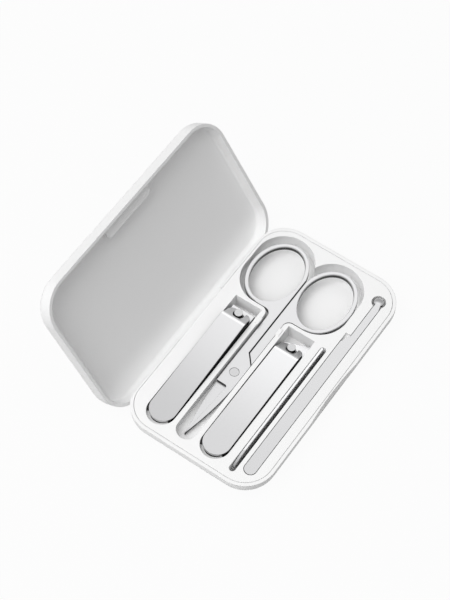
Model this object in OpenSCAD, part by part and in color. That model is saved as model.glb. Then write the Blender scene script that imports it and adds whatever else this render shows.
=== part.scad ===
// Manicure set case: a hinged two-part box with a fitted tray that holds a straight nail
// clipper, a slant-edge nail clipper, small scissors, a nail file and an ear pick.
// X runs from the hinge side (-X) to the opening side (+X), Y along the case, Z up.
// The origin is the middle of the base's flat underside. The lid is drawn open.

/* [Case] */
// Length of the case along the hinge
case_length = 117; // [112:0.5:122]
// Width of the case across the hinge
case_width = 69; // [68:0.5:72]
// Radius of the case corners seen from above
corner_radius = 14.3; // [12:0.1:16]
// Height of the base from its underside to the rim
base_height = 10; // [9.5:0.1:12]
// Height of the lid above the rim
lid_height = 7.5; // [7:0.1:9]
// Rounding of the base's lower edge
base_edge_radius = 8; // [7.5:0.1:8.5]
// Rounding of the lid's upper edge
lid_edge_radius = 6; // [4:0.1:6.5]
// Thickness of the side walls
case_wall = 1.5; // [1.2:0.05:1.6]
// Thickness of the base's floor
base_floor = 1.2; // [0.8:0.1:1.2]
// Thickness of the lid's flat top
lid_top = 1.8; // [1.2:0.1:2]
// Seam between the closed lid's rim and the base's rim
rim_gap = 0.1; // [0.05:0.05:0.2]
// Depth of the finger notch in the front wall
notch_depth = 0.9; // [0.5:0.1:1]
// Length of the finger notch along the front wall
notch_length = 34; // [24:1:44]
// Length of the two magnets that hold the lid shut
magnet_length = 20; // [16:0.5:22]
// Thickness of the magnets
magnet_thickness = 1.8; // [1.5:0.1:2]
// Length of the pad that holds the lid's magnet
cover_length = 29; // [26:0.5:34]
// Width of the pad
cover_width = 5.4; // [5:0.1:6]
// Height of the pad
cover_height = 3.5; // [3:0.1:3.8]
// Radius of the pad's corners
cover_radius = 2.5; // [1.5:0.1:3]

/* [Hinge] */
// Angle of the open lid from closed
lid_open_angle = 122; // [90:1:124]
// Distance of the hinge axis in from the back of the case
hinge_inset = 2.7; // [2.6:0.05:2.8]
// Depth of the hinge axis below the rim
hinge_drop = 3.15; // [3.1:0.05:3.3]
// Length of the lid's hinge knuckle
knuckle_length = 31; // [20:1:32]
// Radius of the hinge knuckles
knuckle_radius = 2.2; // [2:0.05:2.3]
// Length of each hinge boss in the base
hinge_boss_length = 3.7; // [3:0.1:5]
// Radius of the hinge pin
hinge_pin_radius = 0.75; // [0.6:0.05:1]
// Radial clearance of a pin that turns in its bore
running_clearance = 0.05; // [0.03:0.01:0.08]
// Gap beside the knuckle and round its swing
hinge_gap = 0.25; // [0.2:0.05:0.4]

/* [Tray] */
// Thickness of the tray's plate and pocket walls
tray_wall = 0.8; // [0.6:0.05:0.9]
// Gap between the tray and the case wall
tray_gap = 0.15; // [0.1:0.05:0.3]
// Distance from the back of the case to the straight clipper's pocket
hinge_side_margin = 8.55; // [8.4:0.05:8.8]
// Rib between the straight clipper's pocket and the scissors' channel
straight_rib = 2.25; // [2:0.05:2.5]
// Width of the scissors' channel
channel_width = 9.5; // [9.4:0.05:9.7]
// Rib between the scissors' channel and the slant clipper's pocket
slant_rib = 2.15; // [1.9:0.05:2.4]
// Rib between the slant clipper's pocket and the nail file's slot
slot_rib = 3.65; // [3.4:0.05:3.9]
// Width of the nail file's slot
file_slot_width = 2.9; // [2.6:0.05:3]
// Rib between the nail file's slot and the ear pick
ear_rib = 2.1; // [1.9:0.05:2.3]
// Distance from the ear pick to the front of the case
front_margin = 6.2; // [6:0.05:6.4]
// Distance from the end of the case to the clipper pockets
tail_margin = 4.6; // [4.4:0.05:5]
// Distance from a lever's fold to the square end of its pocket
pocket_head = 11.4; // [11.2:0.05:11.6]
// Rib between the clipper pockets and the finger wells
well_rib = 1.7; // [1.5:0.05:2]
// Distance from the back of the case to the finger wells
well_side_margin = 2.75; // [2.7:0.05:3]
// Distance from the end of the case to the finger wells
well_end_margin = 3.6; // [3.5:0.05:4]
// Rounding where the channel opens into the wells
well_corner = 3; // [2:0.1:3.5]
// Gap between the scissor shanks and the two snap lugs
lug_gap = 0.35; // [0.3:0.05:0.4]
// Length of a snap lug
lug_length = 3.7; // [2:0.1:4]
// Height of a snap lug above the tray
lug_rise = 0.3; // [0.1:0.05:0.6]

/* [Clippers] */
// Thickness of a jaw strip
jaw_thickness = 1; // [0.8:0.05:1.1]
// Distance from a lever's fold to the cutting edges
jaw_reach = 8.75; // [8.5:0.05:9]
// Angle of the slant clipper's cutting edge
slant_angle = 21; // [8:1:22]
// Slope of the bent tip of a jaw
tip_angle = 65; // [55:1:70]
// Thickness of the clipping guard
guard_wall = 0.5; // [0.4:0.05:0.6]
// Thickness of the guard's floor under the lower jaw
guard_floor = 0.4; // [0.3:0.05:0.5]
// Gap between the guard and its pocket
guard_side_gap = 0.55; // [0.4:0.05:0.6]
// Gap between a lever and its pocket
lever_side_gap = 0.45; // [0.35:0.05:0.5]
// Length of a lever from its rounded end to its fold
lever_length = 56.9; // [55:0.1:57]
// Thickness of a lever
lever_thickness = 1.2; // [1:0.05:1.3]
// How much narrower a lever is at its fold than at its rounded end
lever_taper = 0.6; // [0:0.1:1]
// Angle at which a lever's nose bends down
nose_angle = 32; // [28:1:34]
// Length of a lever's nose along the case
nose_length = 5.8; // [5:0.1:6]
// Radius of the nose's corners
nose_corner = 3; // [1:0.1:3.2]
// Rise of the straight clipper's lever from its tail to its fold
straight_lever_tilt = 3; // [2:0.1:3.2]
// Height of the straight lever's fold above the tray
straight_fold_rise = 3.1; // [2.9:0.1:3.4]
// Height of the slant lever's fold above the tray
slant_fold_rise = 0.7; // [0.6:0.1:1]
// Distance from a lever's fold to its fulcrum pin
pin_reach = 3.65; // [3.5:0.05:3.9]
// Radius of the fulcrum pin
pin_radius = 1.85; // [1.5:0.05:1.9]
// Gap between the fulcrum pin and the lever's notch
notch_gap = 0.65; // [0.4:0.05:0.7]
// Radius of the tail rivet
rivet_radius = 1.2; // [1:0.1:1.5]

/* [Scissors] */
// Depth of the scissors' top face below the tray
scissors_drop = 1.9; // [1.7:0.1:2.1]
// Thickness of each scissors half at the pivot
blade_thickness = 1.2; // [1:0.05:1.3]
// Length of the blades from the pivot to the tip
blade_length = 35.1; // [32:0.1:37]
// Gap between the blade tips and the end of the channel
blade_tip_gap = 3.3; // [2.5:0.1:4]
// Half of the closed scissors' width at the shanks
shank_width = 4; // [3.8:0.05:4.1]
// Gap between the two closed shanks
shank_gap = 0.5; // [0.3:0.02:0.6]
// Width of a finger ring's wire
ring_wire = 1.9; // [1.6:0.05:2.2]
// Gap between a finger ring and the side of its well
ring_side_gap = 0.8; // [0.7:0.05:1]
// Gap between a finger ring and the clippers' end of its well
ring_tail_gap = 1.35; // [1.2:0.05:1.5]
// Gap between a finger ring and the far end of its well
ring_end_gap = 2.35; // [1.5:0.05:2.6]
// Radius where a shank turns into its ring
gusset_radius = 3; // [2:0.1:3.5]
// Radius of the scissors' rivet
scissors_rivet_radius = 1.4; // [1.2:0.05:1.6]
// Radius of the rivet's caps
rivet_cap_radius = 2; // [1.8:0.05:2.3]

/* [File and ear pick] */
// Thickness of the nail file
file_thickness = 1.1; // [0.8:0.05:1.4]
// Height of the nail file on edge
file_height = 8.1; // [7.6:0.1:8.4]
// Thickness of the ear pick
ear_pick_thickness = 1.3; // [1:0.05:1.6]
// Width of the ear pick's handle
ear_pick_width = 5.3; // [5:0.1:5.4]
// Width of the ear pick's neck
ear_pick_neck = 3; // [2.4:0.1:3.2]
// Radius of the ear pick's scoop
ear_scoop_radius = 2; // [1.8:0.1:2.3]

/* [Hidden] */
$fn = 64;
over = 1;

// Hinge axis
axis_x = -case_width / 2 + hinge_inset;
axis_z = base_height - hinge_drop;
back_round = hinge_drop;

// Heights inside the case
pocket_floor = base_floor + tray_wall;
lid_inner = base_height + lid_height - lid_top;

// Magnets
magnet_inset = 4.1;
magnet_x = case_width / 2 - magnet_inset;
base_magnet_bottom = pocket_floor + 3;
base_magnet_top = base_height - tray_wall - 0.2;
lid_magnet_height = 2;
lid_magnet_drop = 2.5;
cover_wall = 1;

// Tools across the case: the clipper pockets share the width that the rest leaves
clipper_pocket_width = (case_width - hinge_side_margin - straight_rib - channel_width - slant_rib
    - slot_rib - file_slot_width - ear_rib - ear_pick_width - front_margin) / 2;
straight_clipper_x = -case_width / 2 + hinge_side_margin + clipper_pocket_width / 2;
scissors_x = straight_clipper_x + clipper_pocket_width / 2 + straight_rib + channel_width / 2;
slant_clipper_x = scissors_x + channel_width / 2 + slant_rib + clipper_pocket_width / 2;
file_slot_x = slant_clipper_x + clipper_pocket_width / 2 + slot_rib + file_slot_width / 2;
ear_pick_x = case_width / 2 - front_margin - ear_pick_width / 2;

// Clipper places, in the clipper's own frame with x = 0 on its middle line
clipper_pocket_tail = -case_length / 2 + tail_margin;
lever_tail_gap = 1.6;
fold_y = clipper_pocket_tail + lever_tail_gap + lever_length;
pocket_end_y = fold_y + pocket_head;
pin_y = fold_y + pin_reach;
jaw_edge_y = fold_y + jaw_reach;
tail_y = clipper_pocket_tail + 3.4;
rivet_y = tail_y + 4;

// Clipper widths and heights
guard_inner_gap = 0.1;
jaw_width = clipper_pocket_width - 2 * (guard_side_gap + guard_wall + guard_inner_gap);
lever_width = clipper_pocket_width - 2 * lever_side_gap;
lever_fold_width = lever_width - lever_taper;
jaw_bottom = pocket_floor + guard_floor;
jaw_top = jaw_bottom + jaw_thickness;
jaw_rest_gap = 0.1;
jaw_hole_gap = 0.4;
edge_land = 0.15;
tip_length = 4.4;
tip_overlap = jaw_width / 2 * tan(slant_angle) + 0.5;
straight_lower_edge = jaw_top + 0.35;
slant_lower_edge = jaw_top - 0.2;
straight_upper_edge = straight_lower_edge + 1.55;
slant_upper_edge = slant_lower_edge + 1;
fold_bend = 2.2;
fold_start = 1.2;
straight_fold_z = base_height + straight_fold_rise;
slant_fold_z = base_height + slant_fold_rise;
nose_gap = 0.3;
notch_radius = pin_radius + notch_gap;
notch_rear_y = pin_y - notch_radius;
pin_head_radius = pin_radius + 0.75;
rivet_head_radius = rivet_radius + 0.9;

// Scissors: heights, then places along the channel and the wells
scissors_top = base_height - scissors_drop;
scissors_mid = scissors_top - blade_thickness;
scissors_bottom = scissors_top - 2 * blade_thickness;
channel_half = channel_width / 2;
channel_tail = -case_length / 2 + 5.5;
pivot_y = channel_tail + blade_tip_gap + blade_length;
rivet_cap = 0.5;
cap_gap = 0.15;
lap_front = 7;
lap_rear = 6.4;
lap_gap = 0.3;
stop_y = 11.1;

// Finger wells, and the rings that lie in them
well_tail = pocket_end_y + well_rib;
well_end = case_length / 2 - well_end_margin;
well_reach = case_width / 2 - well_side_margin + scissors_x;
well_overlap = 1;
well_radius = (well_reach + well_overlap) / 2;
well_offset = well_reach - well_radius;
ring_side = well_radius - ring_side_gap;
ring_end = (well_end - ring_end_gap - well_tail - ring_tail_gap) / 2;
ring_y = well_tail + ring_tail_gap + ring_end - pivot_y;
ring_edge = 0.3;
lug_y = well_tail - 8.55;
lug_width = 1.7;

// Nail file and ear pick
file_slot_tail = -case_length / 2 + 4.8;
file_slot_end = pocket_end_y - 0.2;
file_side_gap = 0.25;
file_end_gap = 0.8;
file_tip_gap = 2.9;
ear_gap = 0.25;
ear_tail_y = -case_length / 2 + 7.5;
ear_scoop_y = case_length / 2 - 10.7;
ear_step_y = ear_scoop_y - 20.8;
ear_scoop_x = 0.4;
ear_well_radius = ear_scoop_radius + 1.1;
ear_floor = base_height - ear_pick_thickness;
ear_well_floor = base_height - 4.6;

// Plain shapes

// Section of a plate's edge, rounded below with radius e
module edge_section(r, h, e) {
    square([r - e, h]);
    translate([0, e]) square([r, h - e]);
    intersection() {
        translate([r - e, e]) circle(e);
        square([r, e]);
    }
}

// Round-cornered plate, l along Y and w along X, with its lower edge rounded by e
module dish(l, w, r, h, e) {
    for (side = [0, 180]) {
        rotate([0, 0, side]) translate([w / 2 - r, 0, 0]) rotate([90, 0, 0])
            linear_extrude(l - 2 * r, center = true) edge_section(r, h, e);
        rotate([0, 0, side + 90]) translate([l / 2 - r, 0, 0]) rotate([90, 0, 0])
            linear_extrude(w - 2 * r, center = true) edge_section(r, h, e);
    }
    for (x = [-1, 1], y = [-1, 1])
        translate([x * (w / 2 - r), y * (l / 2 - r), 0])
            rotate([0, 0, y > 0 ? (x > 0 ? 0 : 90) : (x > 0 ? 270 : 180)])
                rotate_extrude(angle = 90) edge_section(r, h, e);
    translate([0, 0, h / 2]) cube([w - 2 * r, l - 2 * r, h], center = true);
}

// The case's round-cornered outline, drawn in by inset
module outline(inset) {
    r = corner_radius - inset;
    for (x = [-1, 1], y = [-1, 1])
        translate([x * (case_width / 2 - corner_radius), y * (case_length / 2 - corner_radius)])
            circle(r);
    square([case_width - 2 * corner_radius, case_length - 2 * inset], center = true);
    square([case_width - 2 * inset, case_length - 2 * corner_radius], center = true);
}

// The inside of the base, drawn in by inset, open at the top
module base_inside(inset, floor_z, top_z) {
    translate([0, 0, floor_z])
        dish(case_length - 2 * inset, case_width - 2 * inset, corner_radius - inset,
             top_z - floor_z, base_edge_radius - inset);
}

// A cylinder along the hinge axis
module hinge_rod(r, l) {
    translate([axis_x, 0, axis_z]) rotate([90, 0, 0]) cylinder(h = l, r = r, center = true);
}

// Room that the lid's back wall needs at the top of the base's back edge
module back_relief() {
    difference() {
        translate([axis_x - 10, -case_length, axis_z]) cube([10, 2 * case_length, 10]);
        hinge_rod(back_round, 3 * case_length);
    }
}

// Points along an arc
function arc(c, r, from, to, n) =
    [for (i = [0:n]) c + r * [cos(from + (to - from) * i / n), sin(from + (to - from) * i / n)]];

// Case

module base_shell() {
    color("white") difference() {
        union() {
            difference() {
                dish(case_length, case_width, corner_radius, base_height, base_edge_radius);
                base_inside(case_wall, base_floor, base_height + over);
                hinge_window();
            }
            hinge_bosses();
            magnet_seat();
        }
        back_relief();
        finger_notch();
        hinge_rod(hinge_pin_radius + running_clearance / 2, 2 * pin_half_length() + over);
    }
}

function pin_half_length() = knuckle_length / 2 + hinge_gap + hinge_boss_length;

// Opening in the back wall in which the lid's knuckle turns
module hinge_window() {
    l = knuckle_length + 2 * hinge_gap;
    swing = norm([hinge_inset, hinge_drop]) + hinge_gap;
    hinge_rod(knuckle_radius + hinge_gap, l);
    intersection() {
        hinge_rod(swing, l);
        translate([axis_x - 20, -l / 2, 0]) cube([20, l, 20]);
    }
    intersection() {
        hinge_rod(hinge_inset + 2 * hinge_gap, l);
        translate([axis_x, -l / 2, axis_z - 20]) cube([20, l, 20]);
    }
}

module hinge_bosses() {
    intersection() {
        for (y = [-1, 1])
            translate([0, y * (knuckle_length / 2 + hinge_gap + hinge_boss_length / 2), 0]) {
                hinge_rod(knuckle_radius, hinge_boss_length);
                translate([axis_x - 2, -hinge_boss_length / 2, base_floor / 2])
                    cube([2 + knuckle_radius, hinge_boss_length, axis_z - base_floor / 2]);
            }
        dish(case_length, case_width, corner_radius, base_height, base_edge_radius);
    }
}

// Block with two end posts that holds the magnet behind the front wall
module magnet_seat() {
    post = 1;
    intersection() {
        difference() {
            translate([magnet_x - magnet_thickness / 2, -magnet_length / 2 - post, base_floor / 2])
                cube([5, magnet_length + 2 * post, base_magnet_top - base_floor / 2]);
            translate([magnet_x - magnet_thickness, -magnet_length / 2, base_magnet_bottom])
                cube([magnet_thickness * 1.5, magnet_length, 10]);
        }
        dish(case_length, case_width, corner_radius, base_height, base_edge_radius);
    }
}

// Shallow scoop that lets a fingertip reach the lid's rim
module finger_notch() {
    r = (pow(notch_length / 2, 2) + pow(notch_depth, 2)) / (2 * notch_depth);
    translate([case_width / 2 - notch_depth + r, 0, base_height / 2])
        cylinder(h = base_height, r = r, $fn = 400);
}

module base_magnet() {
    color("gray")
        translate([magnet_x - magnet_thickness / 2, -magnet_length / 2, base_magnet_bottom])
            cube([magnet_thickness, magnet_length, base_magnet_top - base_magnet_bottom]);
}

module hinge_pin() {
    color("silver") hinge_rod(hinge_pin_radius, 2 * pin_half_length());
}

// Turns what is drawn as closed into the open lid
module opened() {
    translate([axis_x, 0, axis_z]) rotate([0, -lid_open_angle, 0])
        translate([-axis_x, 0, -axis_z]) children();
}

module lid_shell() {
    inner_radius = lid_edge_radius - case_wall;
    color("whitesmoke") opened() difference() {
        union() {
            difference() {
                translate([0, 0, base_height + lid_height]) mirror([0, 0, 1])
                    dish(case_length, case_width, corner_radius, lid_height - rim_gap,
                         lid_edge_radius);
                translate([0, 0, lid_inner]) mirror([0, 0, 1])
                    dish(case_length - 2 * case_wall, case_width - 2 * case_wall,
                         corner_radius - case_wall, lid_inner - base_height + over, inner_radius);
            }
            hinge_rod(knuckle_radius, knuckle_length);
            translate([-case_width / 2, -knuckle_length / 2, axis_z + 0.6])
                cube([case_wall, knuckle_length, hinge_drop]);
        }
        hinge_rod(hinge_pin_radius + running_clearance, knuckle_length + over);
    }
}

// Raised pad behind the lid's free edge, which holds the lid's magnet
module magnet_cover() {
    front = case_width / 2 - case_wall;
    color("whitesmoke") opened() difference() {
        intersection() {
            translate([0, 0, lid_inner - cover_height]) linear_extrude(cover_height)
                cover_plan(front);
            translate([0, 0, lid_inner]) mirror([0, 0, 1])
                dish(case_length - 2 * case_wall, case_width - 2 * case_wall,
                     corner_radius - case_wall, lid_inner - base_height,
                     lid_edge_radius - case_wall);
        }
        lid_magnet_bar(over);
    }
}

// Plan of the pad, with rounded corners towards the middle of the lid
module cover_plan(front) {
    r = cover_radius;
    for (y = [-1, 1]) translate([front - cover_width + r, y * (cover_length / 2 - r)]) circle(r);
    translate([front - cover_width + r, -cover_length / 2]) square([cover_width - r, cover_length]);
    translate([front - cover_width, -cover_length / 2 + r])
        square([cover_width, cover_length - 2 * r]);
}

module lid_magnet_bar(extra) {
    translate([magnet_x - magnet_thickness / 2 - cover_wall, -magnet_length / 2,
               lid_inner - lid_magnet_drop])
        cube([magnet_thickness, magnet_length, lid_magnet_height + extra]);
}

module lid_magnet() {
    color("gray") opened() lid_magnet_bar(0);
}

// Tray

// Pocket outlines, each grown by g
module clipper_outline(g) {
    r = clipper_pocket_width / 2;
    translate([0, clipper_pocket_tail + r]) circle(r + g);
    translate([-r - g, clipper_pocket_tail + r])
        square([2 * (r + g), pocket_end_y - clipper_pocket_tail - r + g]);
}

module channel_outline(g) {
    translate([0, channel_tail + channel_half]) circle(channel_half + g);
    translate([-channel_half - g, channel_tail + channel_half])
        square([2 * (channel_half + g), well_tail + well_radius - channel_tail]);
    for (side = [0, 1]) mirror([side, 0]) channel_corner(g);
}

// Rounding of the tray's corner where the channel opens into a well
module channel_corner(g) {
    r = well_corner;
    difference() {
        translate([channel_half - 1, well_tail - r]) square([r + 1, r + 1]);
        translate([channel_half + r, well_tail - r]) circle(r - g);
    }
}

module well_outline(g) {
    r = well_radius;
    l = well_end - well_tail - 2 * r;
    for (side = [-1, 1]) translate([side * well_offset, well_tail + r + l / 2]) {
        for (y = [-l / 2, l / 2]) translate([0, y]) circle(r + g);
        square([2 * (r + g), abs(l)], center = true);
    }
    translate([-well_offset, well_tail - g]) square([2 * well_offset, r + g]);
}

module file_outline(g) {
    r = file_slot_width / 2;
    for (y = [file_slot_tail + r, file_slot_end - r]) translate([0, y]) circle(r + g);
    translate([-r - g, file_slot_tail + r])
        square([2 * (r + g), file_slot_end - file_slot_tail - 2 * r]);
}

module ear_outline(g) {
    half = ear_pick_width / 2;
    translate([0, ear_tail_y + half]) circle(half + g);
    translate([-half - g, ear_tail_y + half])
        square([2 * (half + g), ear_step_y - ear_tail_y - half + g]);
    translate([half - ear_pick_neck - g, 0]) square([ear_pick_neck + 2 * g, ear_scoop_y]);
}

module ear_well_outline(g) {
    translate([ear_scoop_x, ear_scoop_y]) circle(ear_well_radius + g);
}

// Every pocket as a column from its floor, grown by g and deepened by the same wall
module pocket_columns(g, top_z) {
    module column(x, floor_z)
        translate([x, 0, floor_z - g]) linear_extrude(top_z - floor_z + g) children();
    column(straight_clipper_x, pocket_floor) clipper_outline(g);
    column(slant_clipper_x, pocket_floor) clipper_outline(g);
    column(scissors_x, scissors_bottom) channel_outline(g);
    column(scissors_x, pocket_floor) well_outline(g);
    column(file_slot_x, pocket_floor) file_outline(g);
    column(ear_pick_x, ear_floor) ear_outline(g == 0 ? ear_gap : ear_gap + g);
    column(ear_pick_x, ear_well_floor) ear_well_outline(g);
}

// Lugs that reach over the channel beside the scissor shanks
module snap_lugs() {
    reach = shank_width + lug_gap + lug_width / 2;
    for (side = [-1, 1])
        translate([scissors_x + side * reach - lug_width / 2, lug_y, base_height - tray_wall])
            cube([lug_width, lug_length, tray_wall + lug_rise]);
}

module tray() {
    color("white") difference() {
        union() {
            difference() {
                union() {
                    translate([0, 0, base_height - tray_wall])
                        linear_extrude(tray_wall) outline(case_wall + tray_gap);
                    intersection() {
                        pocket_columns(tray_wall, base_height - tray_wall / 2);
                        base_inside(case_wall + tray_gap, base_floor, base_height);
                    }
                }
                intersection() {
                    pocket_columns(0, base_height + over);
                    base_inside(case_wall + tray_gap + tray_wall, pocket_floor,
                                base_height + 2 * over);
                }
            }
            snap_lugs();
        }
        back_relief();
    }
}

// Clippers, in a frame whose x = 0 is the clipper's middle line

// Side view of a jaw: the strip, then the ground tip that ends in the cutting edge
module jaw_strip(points) {
    rotate([90, 0, 90]) linear_extrude(jaw_width, center = true) polygon(points);
}

// The tip, turned by the slant of its edge
module jaw_tip(points, edge_y, slant) {
    translate([0, edge_y, 0]) rotate([0, 0, slant]) translate([0, -edge_y, 0])
        rotate([90, 0, 90]) linear_extrude(jaw_width * 2, center = true) polygon(points);
}

// Plan of a jaw with rounded tail corners
module jaw_plan(edge_y) {
    r = 2.5;
    half = jaw_width / 2;
    linear_extrude(base_height + 10) {
        for (x = [-1, 1]) translate([x * (half - r), tail_y + r]) circle(r);
        translate([-half, tail_y + r]) square([jaw_width, edge_y - tail_y + 5 - r]);
        translate([-half + r, tail_y]) square([jaw_width - 2 * r, 2 * r]);
    }
}

// A jaw's side view as one piece, or with its tip turned to a slanting edge
module jaw_side(under, tip, top, root, edge_y, slant) {
    if (slant == 0) jaw_strip(concat(under, tip, top));
    else {
        jaw_strip(concat(under, top));
        jaw_tip(concat([root[0]], tip, [root[1]]), edge_y, slant);
    }
}

module lower_jaw(edge_y, edge_z, slant) {
    foot = [edge_y - 0.4, jaw_bottom];
    land = [edge_y, edge_z - edge_land];
    edge = [edge_y, edge_z];
    bend = [edge_y - 1, jaw_top];
    front = edge_y + jaw_width;
    color("silver") difference() {
        intersection() {
            if (slant == 0)
                jaw_strip([[tail_y, jaw_bottom], foot, land, edge, bend, [tail_y, jaw_top]]);
            else difference() {
                jaw_strip([[tail_y, jaw_bottom], [front, jaw_bottom],
                           [front, jaw_top], [tail_y, jaw_top]]);
                jaw_tip([2 * foot - land, land, edge, 2 * bend - edge,
                         [front + over, jaw_top + over], [front + over, jaw_bottom - over]],
                        edge_y, slant);
            }
            jaw_plan(edge_y);
        }
        translate([0, pin_y, 0]) cylinder(h = base_height, r = pin_radius + running_clearance);
        translate([0, rivet_y, 0]) cylinder(h = base_height, r = rivet_radius + running_clearance);
    }
}

// Height of the lever's top face on its nose, in the lever's own frame
function nose_top(y) = -fold_bend * (1 - cos(nose_angle))
    - (y + fold_start - fold_bend * sin(nose_angle)) * tan(nose_angle);

// The same in the clipper's frame, once the lever is tilted
function nose_z(fold_z, tilt, y) =
    fold_z + (y - fold_y) * sin(tilt) + nose_top(y - fold_y) * cos(tilt);

// Height of the upper jaw's underside at the pin, under the lever's nose
function upper_jaw_z(fold_z, tilt) = nose_z(fold_z, tilt, fold_y + nose_length)
    - lever_thickness * cos(nose_angle) - nose_gap - jaw_thickness;

module upper_jaw(edge_y, edge_z, slant, pin_z) {
    rise_y = rivet_y + 1.5;
    rest = jaw_top + jaw_rest_gap;
    slope = (pin_z - rest) / (pin_y - rise_y);
    strip_end = edge_y - tip_length;
    root_y = strip_end - tip_overlap;
    bend_y = edge_y - (pin_z + jaw_thickness - edge_z) / tan(tip_angle);
    function under(y) = [y, rest + slope * (y - rise_y)];
    up = [0, jaw_thickness];
    color("silver") difference() {
        intersection() {
            jaw_side([[tail_y, rest], [rise_y, rest], under(strip_end)],
                     [under(bend_y - jaw_thickness), [edge_y, edge_z],
                      [edge_y, edge_z + edge_land], under(bend_y) + up],
                     [under(strip_end) + up, [rise_y, rest] + up, [tail_y, rest] + up],
                     [under(root_y), under(root_y) + up], edge_y, slant);
            jaw_plan(edge_y);
        }
        translate([0, pin_y, 0]) cylinder(h = 2 * base_height, r = pin_radius + jaw_hole_gap);
        translate([0, rivet_y, 0])
            cylinder(h = base_height, r = rivet_radius + 2 * running_clearance);
    }
}

// Channel of dark plastic that catches the clippings between the jaws
module guard(tail_z, fold_z) {
    inner = jaw_width / 2 + guard_inner_gap;
    outer = inner + guard_wall;
    head_gap = 0.1;
    under = lever_thickness + 0.4;
    front_y = pin_y;
    floor_tail = tail_y + 1.3;
    r = 2.7;
    color("dimgray") difference() {
        union() {
            for (side = [-1, 1])
                translate([side * (inner + guard_wall / 2), 0, 0]) rotate([90, 0, 90])
                    linear_extrude(guard_wall, center = true) polygon([
                        [rivet_y, pocket_floor], [front_y, pocket_floor],
                        [front_y, fold_z - under - 3.1], [fold_y - 0.6, fold_z - under],
                        [rivet_y, tail_z - under]
                    ]);
            translate([0, 0, pocket_floor]) linear_extrude(guard_floor) {
                for (x = [-1, 1]) translate([x * (outer - r), floor_tail + r]) circle(r);
                translate([r - outer, floor_tail]) square([2 * (outer - r), 2 * r]);
                translate([-outer, floor_tail + r])
                    square([2 * outer, front_y - floor_tail - r]);
            }
        }
        translate([0, pin_y, 0]) cylinder(h = base_height, r = pin_head_radius + head_gap);
        translate([0, rivet_y, 0]) cylinder(h = base_height, r = rivet_head_radius + head_gap);
    }
}

// Fulcrum pin: head below the lower jaw, groove near the top for the lever's hook
module fulcrum_pin(fold_z, tilt) {
    top = nose_z(fold_z, tilt, notch_rear_y) + 0.1;
    groove_top = top - 0.5;
    groove = lever_thickness + 0.2;
    groove_depth = 0.7;
    color("gainsboro") translate([0, pin_y, 0]) {
        translate([0, 0, pocket_floor]) cylinder(h = guard_floor, r = pin_head_radius);
        difference() {
            translate([0, 0, pocket_floor]) cylinder(h = top - pocket_floor, r = pin_radius);
            translate([-2 * pin_radius, -2 * pin_radius + groove_depth - 0.1, groove_top - groove])
                cube([4 * pin_radius, pin_radius, groove]);
        }
    }
}

module tail_rivet() {
    top = jaw_top + jaw_rest_gap + jaw_thickness + 0.1;
    color("gainsboro") translate([0, rivet_y, 0]) {
        translate([0, 0, pocket_floor]) cylinder(h = guard_floor, r = rivet_head_radius);
        translate([0, 0, pocket_floor]) cylinder(h = top - pocket_floor + 0.1, r = rivet_radius);
        translate([0, 0, top]) cylinder(h = 0.5, r = rivet_head_radius);
    }
}

// Lever in its own frame: the fold's top at the origin, the tail towards -Y
lever_top = concat(
    [[-lever_length, 0]],
    arc([-fold_start, -fold_bend], fold_bend, 90, 90 - nose_angle, 6),
    [[nose_length, nose_top(nose_length)]]
);
lever_under = concat(
    [[-lever_length, -lever_thickness]],
    arc([-fold_start, -fold_bend], fold_bend - lever_thickness, 90, 90 - nose_angle, 6),
    [lever_top[len(lever_top) - 1] - lever_thickness * [sin(nose_angle), cos(nose_angle)]]
);

module lever_plan() {
    tail = lever_width / 2;
    fold = lever_fold_width / 2;
    nose = fold - 0.35;
    r = nose_corner;
    translate([0, -lever_length + tail]) circle(tail);
    polygon([[-tail, -lever_length + tail], [tail, -lever_length + tail],
             [fold, 0], [nose, 1.5], [nose, nose_length - r], [-nose, nose_length - r],
             [-nose, 1.5], [-fold, 0]]);
    for (x = [-1, 1]) translate([x * (nose - r), nose_length - r]) circle(r);
    translate([-nose + r, nose_length - 2 * r]) square([2 * (nose - r), 2 * r]);
}

module lever(fold_z, tilt) {
    color("lightgray") difference() {
        translate([0, fold_y, fold_z]) rotate([tilt, 0, 0]) intersection() {
            rotate([90, 0, 90]) linear_extrude(lever_width + over, center = true)
                polygon(concat(lever_top, [for (i = [len(lever_under) - 1:-1:0]) lever_under[i]]));
            translate([0, 0, -10]) linear_extrude(20) lever_plan();
        }
        translate([0, notch_rear_y + notch_radius, 0]) cylinder(h = 20, r = notch_radius);
        translate([-notch_radius, notch_rear_y + notch_radius, 0])
            cube([2 * notch_radius, 10, 20]);
    }
}

straight_pin_z = upper_jaw_z(straight_fold_z, straight_lever_tilt);
slant_pin_z = upper_jaw_z(slant_fold_z, 0);
straight_tail_z = straight_fold_z - lever_length * sin(straight_lever_tilt);

module straight() translate([straight_clipper_x, 0, 0]) children();
module slanted() translate([slant_clipper_x, 0, 0]) children();

module straight_clipper_lower_jaw() straight() lower_jaw(jaw_edge_y, straight_lower_edge, 0);
module straight_clipper_upper_jaw()
    straight() upper_jaw(jaw_edge_y, straight_upper_edge, 0, straight_pin_z);
module straight_clipper_guard() straight() guard(straight_tail_z, straight_fold_z);
module straight_clipper_pin() straight() fulcrum_pin(straight_fold_z, straight_lever_tilt);
module straight_clipper_rivet() straight() tail_rivet();
module straight_clipper_lever() straight() lever(straight_fold_z, straight_lever_tilt);

module slant_clipper_lower_jaw()
    slanted() lower_jaw(jaw_edge_y, slant_lower_edge, slant_angle);
module slant_clipper_upper_jaw()
    slanted() upper_jaw(jaw_edge_y, slant_upper_edge, slant_angle, slant_pin_z);
module slant_clipper_guard() slanted() guard(slant_fold_z, slant_fold_z);
module slant_clipper_pin() slanted() fulcrum_pin(slant_fold_z, 0);
module slant_clipper_rivet() slanted() tail_rivet();
module slant_clipper_lever() slanted() lever(slant_fold_z, 0);

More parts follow.
